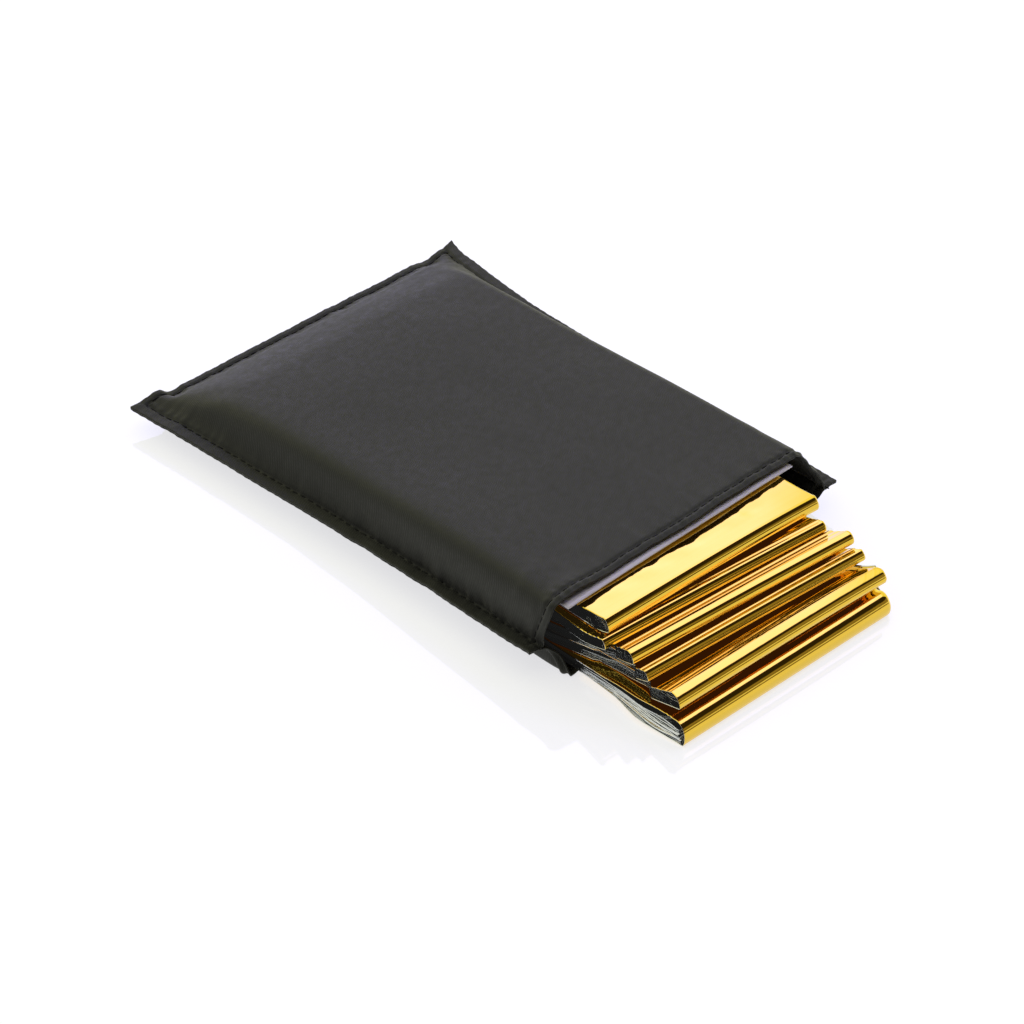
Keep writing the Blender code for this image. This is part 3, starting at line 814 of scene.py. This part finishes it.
class Film:
    """The folded film: where its bundles lie, and the lines that its layers follow.

    A bundle is an upper run, a nose and a lower run. A share is a place along a run's fan, from 0
    where it lies flat to 1 at the nose, and a part is a place across the strip from its left end
    to its right one. Layer 0 is the outermost.
    """

    def __init__(self):
        self.tops = table(TOP_ROWS, TOP_COLUMNS)
        ends = table(END_ROWS, END_COLUMNS)
        self.bundles = [{**row, **end} for row, end in zip(table(BUNDLE_ROWS, BUNDLE_COLUMNS), ends)]
        self.noses = table(NOSE_ROWS, NOSE_COLUMNS)
        self.ridges = table(RIDGE_ROWS, RIDGE_COLUMNS)

    def stacked(self, index, y):
        """A bundle's middle height and half thickness where the bundles lie flat."""
        least = 2 * (SOLID_FILM + SOLID_GAP) + 0.02
        ceiling = (value_at(self.tops, "top", y) - SOLID_CLOTH - SOLID_CARD_SPACE - SOLID_CARD
                   - SOLID_GAP)
        pitch = max((ceiling - SOLID_CLOTH - SOLID_GAP) / len(self.bundles), least)
        return ceiling - (index + 0.5) * pitch, 0.5 * (pitch - SOLID_GAP)

    def level(self, index, y, side, end, target):
        """Height of a bundle's upper (side 1) or lower (side -1) face, and how far along its fan
        y is, where the fan ends at a height."""
        bundle = self.bundles[index]
        start = bundle["fan_start"] if side > 0 else LOWER_FAN_START
        middle, half = self.stacked(index, max(y, start))
        flat = middle + side * half
        if y >= start:
            return flat, 0.0
        share = min((start - y) / (start - end), 1.0)
        power = bundle["fan_power"] if side > 0 else LOWER_FAN_POWER
        return flat + (target - flat) * share ** power, share

    def left_end(self, index, y, z, layer, nose, hollow):
        """How far a layer's left end is drawn in: unevenly, and further inside the skin."""
        bundle = self.bundles[index]
        drawn = RAGGED * drift(y * 0.09, seed=20 + layer + 7 * index)
        if layer:
            deep = past(y, RECESS_FROM, RECESS_OVER)
            deep *= 1 + RECESS_CHANCE * drift(2.3 * layer, index, seed=61)
            fade = bundle["hollow_fade"] * layer / (LAYERS - 1)
            drawn += bundle["recess"] * deep + LAYER_STEP * layer
            drawn += hollow * bump(y - nose - HOLLOW_AT, HOLLOW_WIDTH) * (1 - fade)
        drawn -= (bundle["flare"] * bump(y - FLARE_AT, FLARE_WIDTH)
                  * ease((FLARE_TOP - z) / FLARE_OVER))
        tail = TAIL * behind_by(y - nose, bundle["tail"], TAIL_OVER)
        return drawn + tail * past(y, END_FROM, TAIL_FADE)

    def point(self, index, y, z, part, layer, nose=0.0, hollow=0.0):
        """A point with its place across the strip, whose left and right ends are drawn in."""
        bundle = self.bundles[index]
        slip = ease((SKEW_START - y) / (SKEW_START - bundle["nose_left"]))
        left = FILM_LEFT + (bundle["left_edge"] - FILM_LEFT) * slip
        drawn = self.left_end(index, y, z, layer, nose, hollow)
        narrow = bundle["taper"] * behind_by(y - nose, TAPER_FROM, TAPER_OVER)
        narrow *= past(y, END_FROM, TAPER_FADE)
        across = (part * FILM_WIDTH + drawn * (1 - part) ** LEFT_POWER
                  - narrow * part ** RIGHT_POWER)
        return (left + across, y, z)

    def sunk(self, index, layer, share, low):
        """How deep a layer lies under the bundle's outer face, at its upper or lower run."""
        bundle = self.bundles[index]
        spread = bundle["spread_low"] if low else bundle["spread_top"]
        reach = TIGHT + (spread - TIGHT) * ease(share * SPREAD_HASTE)
        return FIRST_DEPTH + (reach - FIRST_DEPTH) * layer / (LAYERS - 1) if layer else 0.0

    def rounding(self, index, part, share, half):
        """How far a closed right end draws in the layers."""
        inside = (1 - part) * FILM_WIDTH
        radius = self.bundles[index]["end_round"]
        if inside >= radius:
            return 0.0
        drawn = radius - math.sqrt(radius ** 2 - (radius - inside) ** 2)
        return min(drawn, MOST_ROUND * half) * ease(share * 1.6 - 0.4)

    def wander(self, index, y, part, layer, low):
        """Small waves of the inner layers, crinkled at the lowest bundle's left end."""
        if not layer:
            return 0.0
        wave = WAVE * drift(y * 0.13, part * 6, seed=40 + layer + 9 * index + 3 * low)
        crinkle = drift(y * 0.42, part * 40, seed=70 + layer + 5 * index)
        crinkle *= self.bundles[index]["crinkle"] * (1 - part) ** CRINKLE_POWER
        crinkle *= past(y, CRINKLE_FROM, CRINKLE_OVER)
        return past(y, WAVE_FROM, WAVE_OVER) * (wave + crinkle) * min(layer / CALM_LAYERS, 1.0)

    def ridge(self, index, y, part, turn):
        """The small ridges behind a nose."""
        rise = 0.0
        for row in self.ridges:
            if row["bundle"] == index:
                behind = row["left"] + (row["right"] - row["left"]) * part
                rise += row["height"] * bump(y - turn - behind, row["width"])
        behind = y - turn - LINE_SLANT * index * part
        lines = math.sin(3.9 * behind + index) + 0.6 * math.sin(2.3 * behind + 2.2 * index)
        fade = ease(behind / LINE_FROM) * ease((LINE_END - behind) / LINE_FADE) if index else 0.0
        return rise + LINE_HEIGHT * lines * fade

    def run_start(self, index):
        """Where a bundle's upper run begins: the fold at the back of the bundle above."""
        return self.bundles[index - 1]["back"] if index else FIRST_RUN_END

    def run_places(self, start, fan, end, steps):
        """Places along a run: evenly where it lies flat, then closer and closer to its end."""
        inside, outside = steps
        places = [start]
        for step in range(inside + 1):
            y = FIRST_RUN_END + (fan - FIRST_RUN_END) * step / inside
            if y < start - 0.3:
                places.append(y)
        for step in range(1, outside + 1):
            share = 1 - (1 - step / outside) ** RUN_CROWDING
            places.append(fan + (end - fan) * share)
        return places

    def nose_section(self, index):
        """A nose's section from its crown to the end of its foot, whose front is at y = 0 and
        whose lower face is at z = 0."""
        nose = self.noses[index]
        lengths = [nose[column] for column in NOSE_COLUMNS]
        lengths[-1] *= math.radians(NOSE_ANGLES[-1] - NOSE_ANGLES[-2])
        y, z, gone = 0.0, 0.0, 0.0
        points = [(y, z)]
        for i, (length, count) in enumerate(zip(lengths, NOSE_STEPS)):
            for step in range(count):
                share = (step + 0.5) / count
                angle = NOSE_ANGLES[i] + (NOSE_ANGLES[i + 1] - NOSE_ANGLES[i]) * share
                gone += length / count
                if i in PRESSED_SEGMENTS:
                    tilt = math.sin(9.5 * gone + 2.1 * index) + 0.7 * math.sin(17.0 * gone + index)
                    angle += PRESSED_LINES * tilt * math.sin(math.pi * share)
                y -= length / count * math.cos(math.radians(angle))
                z -= length / count * math.sin(math.radians(angle))
                points.append((y, z))
        front = min(point[0] for point in points)
        return [(y - front, z - points[-1][1]) for y, z in points]

    def nose_at(self, index, part):
        """A bundle's nose at one place across the strip: its front, half height and points."""
        bundle = self.bundles[index]
        section = self.nose_section(index)
        half = 0.5 * section[0][1]
        inward = self.rounding(index, part, 1.0, half)
        front = bundle["nose_left"] + (bundle["nose_right"] - bundle["nose_left"]) * part + inward
        foot = bundle["nose_foot"] - bundle["droop"] * part ** DROOP_POWER + inward
        squeeze = 1 - inward / half
        points = [(front + y, foot + z * squeeze) for y, z in section]
        return {"front": front, "half": half, "points": points}

    def run(self, index, part, layer, nose, end, steps, low):
        """A layer's upper or lower run, in the strip's order: the upper one comes from the fold
        at the back, and the lower one goes back to it."""
        bundle = self.bundles[index]
        side = -1 if low else 1
        start = bundle["back"] if low else self.run_start(index)
        fan = LOWER_FAN_START if low else bundle["fan_start"]
        points = []
        for y in self.run_places(start, fan, end, steps):
            z, share = self.level(index, y, side, *nose["points"][-1 if low else 0])
            z -= side * self.sunk(index, layer, share, low)
            z -= side * self.rounding(index, part, share, nose["half"]) * (share < RUN_END)
            z += self.wander(index, y, part, layer, low)
            if not low and not index:
                z += waves(TOP_WAVES, part * FILM_WIDTH) * bump(y - TOP_WAVES_AT, TOP_WAVES_WIDTH)
            if not low and not layer:
                z += self.ridge(index, y, part, nose["points"][0][0])
            points.append((y, z))
        return points[::side]

    def inner_turn(self, index, part, layer, nose, start, chance):
        """An inner layer's turn behind the nose, from its upper run's end, and its tip's Y."""
        heel, foot = nose["points"][-1]
        tip = heel + TIP_BEHIND + TIP_SPREAD * layer / (LAYERS - 1) + TIP_CHANCE * abs(chance)
        low, share = self.level(index, tip, -1, heel, foot)
        low += self.sunk(index, layer, share, True)
        points = []
        for step in range(1, TURN_STEPS + 1):
            t = step / TURN_STEPS
            y = start[0] + (tip - start[0]) * t
            z = start[1] + (low + 2 * TIP_RADIUS - start[1]) * t ** TURN_POWER
            points.append((y, z + self.wander(index, y, part, layer, 1) * t * (1 - t) * 4))
        points.append((tip - TIP_DEPTH, low + TIP_RADIUS))
        return points, tip

    def bundle_line(self, index, part, layer, fine):
        """One layer's line through one bundle, from its upper run round the nose and back."""
        bundle = self.bundles[index]
        nose = self.nose_at(index, part)
        turn, heel = nose["points"][0][0], nose["points"][-1][0]
        chance = drift(3.7 * layer, 1.9 * index, seed=60)
        steps = FINE_STEPS if fine else PLAIN_STEPS
        leave = turn + (bundle["opening"] * (1 + OPENING_CHANCE * chance) if layer else 0.0)
        upper = self.run(index, part, layer, nose, leave, steps, False)
        if layer:
            bend, tip = self.inner_turn(index, part, layer, nose, upper[-1], chance)
            lower = self.run(index, part, layer, nose, tip, steps, True)
        else:
            upper = upper[:-1]
            bend = nose["points"]
            lower = self.run(index, part, layer, nose, heel, steps, True)[1:]
        runs = ((upper + bend, bundle["hollow_top"]), (lower, bundle["hollow_low"]))
        return [self.point(index, y, z, part, layer, nose["front"], hollow)
                for run, hollow in runs for y, z in run]

    def back_fold(self, index, part, layer):
        """A layer's fold at the back, from one bundle's lower run to the next one's upper run."""
        end = self.bundles[index]["back"]
        middle, half = self.stacked(index, end)
        height = middle - half - SOLID_GAP / 2
        radius = 0.5 * SOLID_GAP + self.sunk(index, layer, 0.0, True)
        points = []
        for step in range(1, BACK_STEPS):
            angle = math.pi * (0.5 - step / BACK_STEPS)
            points.append(self.point(index, end + radius * math.cos(angle),
                                     height + radius * math.sin(angle), part, layer))
        return points

    def line(self, part, layer, fine):
        """A layer's line at one place across the strip, from the top run's end down."""
        points = []
        for index in range(len(self.bundles)):
            points.extend(self.bundle_line(index, part, layer, fine))
            if index + 1 < len(self.bundles):
                points.extend(self.back_fold(index, part, layer))
        return points

    def grid(self, layer, parts, fine):
        """A layer's points, a row for each place along the strip, from its right end across."""
        lines = [self.line(part, layer, fine) for part in parts]
        return np.array(lines[::-1]).transpose(1, 0, 2)


def film_parts(middle):
    """Places across the strip as shares of its width, closer together at its ends."""
    first = LEFT_PARTS[-1]
    inner = [first + MIDDLE_PARTS * (step + 1) / (middle + 1) for step in range(middle)]
    return [*LEFT_PARTS, *inner, *(1 - part for part in RIGHT_PARTS)]


# ---------------------------------------------------------------- stitches

def stitch_tree(material):
    """Geometry nodes that lay stitches along a path: a long bead at each step of the pitch."""
    tree = bpy.data.node_groups.new("Stitches", "GeometryNodeTree")
    sockets = tree.interface
    sockets.new_socket(name="Path", in_out="INPUT", socket_type="NodeSocketGeometry")
    inputs = {}
    for name, value in (("Pitch", 0.003), ("Length", 0.0023), ("Thickness", 0.0004)):
        socket = sockets.new_socket(name=name, in_out="INPUT", socket_type="NodeSocketFloat")
        socket.default_value = value
        inputs[name] = socket.identifier
    sockets.new_socket(name="Stitches", in_out="OUTPUT", socket_type="NodeSocketGeometry")
    start = add(tree, "NodeGroupInput").outputs
    curve = add(tree, "GeometryNodeMeshToCurve", {}, {"Mesh": start["Path"]}).outputs["Curve"]
    spaced = add(tree, "GeometryNodeResampleCurve", {"mode": "LENGTH"},
                 {"Curve": curve, "Length": start["Pitch"]}).outputs["Curve"]
    bead = add(tree, "GeometryNodeMeshUVSphere", {"Segments": 8, "Rings": 6, "Radius": 0.5})
    size = add(tree, "ShaderNodeCombineXYZ", {}, {"X": start["Length"], "Y": start["Thickness"],
                                                  "Z": start["Thickness"]}).outputs["Vector"]
    shaped = add(tree, "GeometryNodeTransform", {}, {"Geometry": bead.outputs["Mesh"],
                                                     "Scale": size}).outputs["Geometry"]
    tangent = add(tree, "GeometryNodeInputTangent").outputs["Tangent"]
    turn = add(tree, "FunctionNodeAlignRotationToVector", {"axis": "X"},
               {"Vector": tangent}).outputs["Rotation"]
    laid = add(tree, "GeometryNodeInstanceOnPoints", {},
               {"Points": spaced, "Instance": shaped, "Rotation": turn}).outputs["Instances"]
    real = add(tree, "GeometryNodeRealizeInstances", {}, {"Geometry": laid}).outputs["Geometry"]
    done = add(tree, "GeometryNodeSetMaterial", {"Material": material},
               {"Geometry": real}).outputs["Geometry"]
    add(tree, "NodeGroupOutput", {}, {0: done})
    return tree, inputs


def sewn_row(name, path, tree, inputs, settings, material):
    """Stitches along a path of points in millimetres, as a plain mesh."""
    mesh = bpy.data.meshes.new(name)
    points = [Vector(point) * MM + PLACE for point in path]
    mesh.from_pydata(points, [(i, i + 1) for i in range(len(points) - 1)], [])
    guide = bpy.data.objects.new(name + "_path", mesh)
    bpy.context.scene.collection.objects.link(guide)
    modifier = guide.modifiers.new("Stitches", "NODES")
    modifier.node_group = tree
    modifier[inputs["Pitch"]] = settings.stitch_pitch
    modifier[inputs["Length"]] = settings.stitch_length
    modifier[inputs["Thickness"]] = settings.thread
    graph = bpy.context.evaluated_depsgraph_get()
    laid = bpy.data.meshes.new_from_object(guide.evaluated_get(graph))
    guide.modifiers.clear()
    bpy.data.objects.remove(guide, do_unlink=True)
    laid.name = name
    laid.materials.clear()
    laid.materials.append(material)
    laid.shade_smooth()
    item = bpy.data.objects.new(name, laid)
    bpy.context.scene.collection.objects.link(item)
    return item


def seam_path(grid, normals, inset, far_inset):
    """A line at a distance inside the three sewn edges, from the mouth's left to its right."""
    across = run_lengths(grid, 1)
    along = run_lengths(grid, 0)
    rows, columns = grid.shape[:2]
    path = []

    def place_on(points, lengths, distance, faces):
        index = int(np.searchsorted(lengths, distance)) - 1
        index = min(max(index, 0), len(lengths) - 2)
        t = (distance - lengths[index]) / (lengths[index + 1] - lengths[index])
        return points[index] * (1 - t) + points[index + 1] * t + faces[index] * STITCH_RISE

    far_stop = int(np.searchsorted(along[:, columns // 2], along[-1, columns // 2] - far_inset))
    for i in range(2, far_stop):
        path.append(place_on(grid[i], across[i], inset, normals[i]))
    for j in range(columns):
        if inset <= across[-1, j] <= across[-1, -1] - inset:
            path.append(place_on(grid[:, j], along[:, j], along[-1, j] - far_inset, normals[:, j]))
    for i in range(far_stop - 1, 1, -1):
        path.append(place_on(grid[i], across[i], across[i, -1] - inset, normals[i]))
    return path


def hem_path(grid, normals, inset):
    """A line at a distance inside the mouth's edge, from left to right."""
    along = run_lengths(grid, 0)
    path = []
    for j in range(HEM_ENDS, grid.shape[1] - HEM_ENDS):
        index = int(np.searchsorted(along[:, j], inset)) - 1
        t = (inset - along[index, j]) / (along[index + 1, j] - along[index, j])
        point = grid[index, j] * (1 - t) + grid[index + 1, j] * t
        path.append(point + normals[index, j] * STITCH_RISE)
    return path


# ---------------------------------------------------------------- settings

def length_setting(name, description, default, precision=5):
    return bpy.props.FloatProperty(name=name, description=description, default=default,
                                   unit="LENGTH", precision=precision)


def colour_setting(name, description, default):
    return bpy.props.StringProperty(name=name, description=description + ", as a hex code",
                                    default=default)


class PouchSettings(bpy.types.PropertyGroup):
    cloth: length_setting("Cloth", "Thickness of the pouch's cloth", 0.00045)
    rib_pitch: length_setting("Rib Pitch", "Distance between the twill's ribs", 0.00062)
    stitch_pitch: length_setting("Stitch Pitch", "Distance from stitch to stitch",
                                 STITCH_PITCH * MM, 4)
    stitch_length: length_setting("Stitch Length", "Length of thread that shows of a stitch",
                                  0.0025, 4)
    thread: length_setting("Thread", "Thickness of the sewing thread", 0.00055)
    cloth_dark: colour_setting("Cloth, Dark", "Darker shade of the cloth", "#0f0f0f")
    cloth_light: colour_setting("Cloth, Light", "Lighter shade of the cloth", "#222222")


class CardSettings(bpy.types.PropertyGroup):
    thickness: length_setting("Thickness", "Thickness of the card", 0.0003)


class FilmSettings(bpy.types.PropertyGroup):
    thickness: length_setting("Thickness", "Thickness of one modelled layer of film", 0.00006)
    gold: colour_setting("Gold", "Colour of the film's gold side", "#e7c01c")
    silver: colour_setting("Silver", "Colour of the film's silver side", "#d4d6d4")


class StageSettings(bpy.types.PropertyGroup):
    floor_size: length_setting("Floor", "Side of the square floor", 6.0, 2)
    light: bpy.props.FloatProperty(name="Light", description="Strength of the studio light",
                                   default=1.0)


# ---------------------------------------------------------------- operators

class BuildPouch(bpy.types.Operator):
    """Build the pouch's two panels and the topstitches that hold and trim them"""
    bl_idname = "blanket.build_pouch"
    bl_label = "Build Pouch"

    def execute(self, context):
        settings = context.scene.blanket_pouch
        cloth = settings.cloth / MM
        twill = woven_polyester(settings)
        thread = sewing_thread()
        upper = sewn_cloth(top_grid(cloth), 1.0, table(TOP_CREASES, CREASE_COLUMNS))
        lower = sewn_cloth(bottom_grid(cloth), 0.0)
        lower[:, :, 2] = np.maximum(lower[:, :, 2], cloth + FLOOR_GAP)
        top = sheet_object("pouch_top", upper, cloth, [twill])
        bottom = sheet_object("pouch_bottom", lower, cloth, [twill])
        tree, inputs = stitch_tree(thread)
        normals = surface_normals(upper)
        rows = (("flange_stitches", seam_path(upper, normals, FLANGE, FAR_FLANGE)),
                ("hem_stitches", hem_path(upper, normals, HEM_STITCH)))
        stitches = [sewn_row(name, path, tree, inputs, settings, thread) for name, path in rows]
        for item, node in ((top, "pouch_top_panel"), (bottom, "pouch_bottom_panel")):
            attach(item, "root")
            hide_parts(node)
        for item in stitches:
            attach(item, "root")
        return {"FINISHED"}


class BuildCard(bpy.types.Operator):
    """Build the leaflet card that lies on the film under the pouch's hem"""
    bl_idname = "blanket.build_card"
    bl_label = "Build Card"

    def execute(self, context):
        grid = card_grid()
        settings = context.scene.blanket_card
        card = sheet_object("card", grid, settings.thickness / MM, [coated_card()])
        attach(card, "root")
        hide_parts("leaflet_card")
        return {"FINISHED"}


class BuildFilm(bpy.types.Operator):
    """Build the folded film: its gold outermost layer and the layers inside its folds"""
    bl_idname = "blanket.build_film"
    bl_label = "Build Film"

    def execute(self, context):
        settings = context.scene.blanket_film
        gold = metallised_film("gold film", settings.gold, GOLD_GLOW, GOLD_CREASE)
        silver = metallised_film("silver film", settings.silver, SILVER_GLOW, SILVER_CREASE)
        film = Film()
        for layer in range(LAYERS):
            fine = layer == 0
            parts = film_parts(FINE_COLUMNS if fine else PLAIN_COLUMNS)
            grid = film.grid(layer, parts, fine)
            faces = [gold, silver] if layer in GOLD_LAYERS else [silver]
            item = sheet_object(f"film_{layer + 1}", grid, settings.thickness / MM, faces)
            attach(item, "root")
            if layer == 0:
                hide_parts("foil_blanket")
        return {"FINISHED"}


class BuildStage(bpy.types.Operator):
    """Build the floor, the studio light and the camera"""
    bl_idname = "blanket.build_stage"
    bl_label = "Build Stage"

    def execute(self, context):
        settings = context.scene.blanket_stage
        half = settings.floor_size / 2
        mesh = bpy.data.meshes.new("floor")
        mesh.from_pydata([(-half, -half, 0), (half, -half, 0), (half, half, 0), (-half, half, 0)],
                         [], [(0, 1, 2, 3)])
        mesh.materials.append(glossy_floor())
        floor = bpy.data.objects.new("floor", mesh)
        context.scene.collection.objects.link(floor)
        studio_light(context.scene, settings.light)
        studio_camera(context.scene)
        return {"FINISHED"}


def studio_light(scene, strength):
    """A white tent behind and overhead, open on the camera's side, where the room is dim."""
    world = bpy.data.worlds.new("studio")
    scene.world = world
    world.use_nodes = True
    tree = world.node_tree
    direction = add(tree, "ShaderNodeTexCoord").outputs["Generated"]
    parts = add(tree, "ShaderNodeSeparateXYZ", {}, {"Vector": direction}).outputs
    room = ramp(tree, parts["Z"], ROOM_STOPS)
    side = ramp(tree, parts["Z"], SIDE_STOPS)
    tent = ramp(tree, parts["Z"], TENT_STOPS)
    strip = ramp(tree, parts["X"], STRIP_STOPS)
    tent = mixed(tree, {"blend_type": "MULTIPLY", 0: 1.0}, {6: tent, 7: strip})
    left = ranged(tree, parts["X"], {"interpolation_type": "SMOOTHSTEP", **SIDE_EDGE})
    walls = mixed(tree, {}, {0: left, 6: tent, 7: side})
    front = ranged(tree, parts["Y"], {"interpolation_type": "SMOOTHSTEP", **TENT_EDGE})
    level = mixed(tree, {}, {0: front, 6: walls, 7: room})
    fit(tree, tree.nodes["Background"], {"Strength": strength}, {"Color": level})


def ramp(tree, value, stops):
    """A colour that follows a value from -1 to 1: its brightness and tint at stops."""
    share = ranged(tree, value, {1: -1.0, 2: 1.0})
    bar = add(tree, "ShaderNodeValToRGB", {}, {"Fac": share})
    elements = bar.color_ramp.elements
    for place, level, tint in stops[1:-1]:
        elements.new((place + 1) / 2)
    for element, (place, level, tint) in zip(elements, stops):
        element.position = (place + 1) / 2
        element.color = (*(level * channel for channel in tint), 1.0)
    return bar.outputs["Color"]


def studio_camera(scene):
    """A long lens that looks at the pouch's middle from its left and from above."""
    data = bpy.data.cameras.new("camera")
    camera = bpy.data.objects.new("camera", data)
    scene.collection.objects.link(camera)
    scene.camera = camera
    azimuth, elevation = math.radians(VIEW_AZIMUTH), math.radians(VIEW_ELEVATION)
    back = Vector((math.sin(azimuth) * math.cos(elevation),
                   -math.cos(azimuth) * math.cos(elevation), math.sin(elevation)))
    camera.location = Vector(VIEW_TARGET) * MM + PLACE + back * VIEW_DISTANCE
    camera.rotation_euler = (-back).to_track_quat("-Z", "Y").to_euler()
    data.lens = VIEW_LENS
    data.sensor_width = VIEW_SENSOR
    data.clip_start, data.clip_end = 0.05, 50.0
    scene.view_settings.view_transform = "Standard"


class BlanketPanel(bpy.types.Panel):
    """Sizes, colours and build buttons of the blanket and its pouch"""
    bl_idname = "VIEW3D_PT_blanket"
    bl_label = "Foil Blanket"
    bl_space_type = "VIEW_3D"
    bl_region_type = "UI"
    bl_category = "Blanket"

    def draw(self, context):
        for operator, group in PIECES:
            settings = getattr(context.scene, group)
            box = self.layout.box()
            for name in settings.__annotations__:
                box.prop(settings, name)
            box.operator(operator.bl_idname)


PIECES = ((BuildStage, "blanket_stage"), (BuildPouch, "blanket_pouch"),
          (BuildCard, "blanket_card"), (BuildFilm, "blanket_film"))
GROUPS = {"blanket_stage": StageSettings, "blanket_pouch": PouchSettings,
          "blanket_card": CardSettings, "blanket_film": FilmSettings}


def register():
    for name, group in GROUPS.items():
        bpy.utils.register_class(group)
        setattr(bpy.types.Scene, name, bpy.props.PointerProperty(type=group))
    for operator, _ in PIECES:
        bpy.utils.register_class(operator)
    bpy.utils.register_class(BlanketPanel)


def unregister():
    bpy.utils.unregister_class(BlanketPanel)
    for operator, _ in reversed(PIECES):
        bpy.utils.unregister_class(operator)
    for name, group in reversed(GROUPS.items()):
        delattr(bpy.types.Scene, name)
        bpy.utils.unregister_class(group)


def main():
    register()
    bpy.ops.blanket.build_stage()
    bpy.ops.blanket.build_pouch()
    bpy.ops.blanket.build_card()
    bpy.ops.blanket.build_film()
    bpy.context.view_layer.update()


if __name__ == "__main__":
    main()
